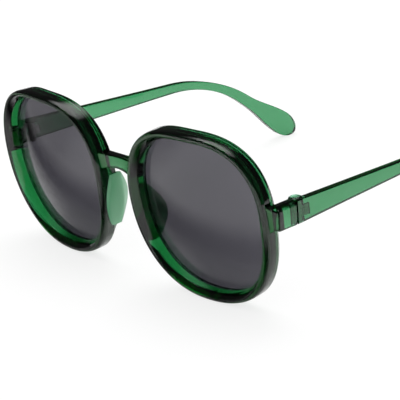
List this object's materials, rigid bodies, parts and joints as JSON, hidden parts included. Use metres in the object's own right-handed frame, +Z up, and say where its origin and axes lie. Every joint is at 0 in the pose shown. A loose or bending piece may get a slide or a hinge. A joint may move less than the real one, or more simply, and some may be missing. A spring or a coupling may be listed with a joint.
{
  "type": "round sunglasses",
  "caption": "Round sunglasses with a dished translucent plastic front, grey lenses, moulded nose pads and temples that fold on three-knuckle hinges.",
  "frame": {"origin": "middle of the footprint, on the surface that the rims and the temple tips stand on", "axes": "+X to the wearer's left, +Y from the front towards the temple tips, +Z up"},
  "size_m": [0.1492, 0.1426, 0.0594],
  "materials": {
    "green_polycarbonate": "glossy translucent moulded plastic",
    "smoke_lens": "glossy neutral grey tint",
    "hinge_steel": "satin"
  },
  "bodies": {
    "front": {"front_frame": "green_polycarbonate", "lens_left": "smoke_lens", "lens_right": "smoke_lens", "nose_pad_left": "green_polycarbonate", "nose_pad_right": "green_polycarbonate", "hinge_front_leaf_left": "hinge_steel", "hinge_front_leaf_right": "hinge_steel", "hinge_screw_left": "hinge_steel", "hinge_screw_right": "hinge_steel"},
    "temple_left": {"temple_left": "green_polycarbonate", "hinge_temple_leaf_left": "hinge_steel"},
    "temple_right": {"temple_right": "green_polycarbonate", "hinge_temple_leaf_right": "hinge_steel"}
  },
  "joints": [
    {"name": "temple_left_fold", "type": "hinge", "parent": "front", "child": "temple_left", "pos_m": [0.0713, -0.05249, 0.03506], "axis": [0, 0, 1], "range_deg": [0, 86]},
    {"name": "temple_right_fold", "type": "hinge", "parent": "front", "child": "temple_right", "pos_m": [-0.0713, -0.05249, 0.03506], "axis": [0, 0, -1], "range_deg": [0, 82]}
  ]
}
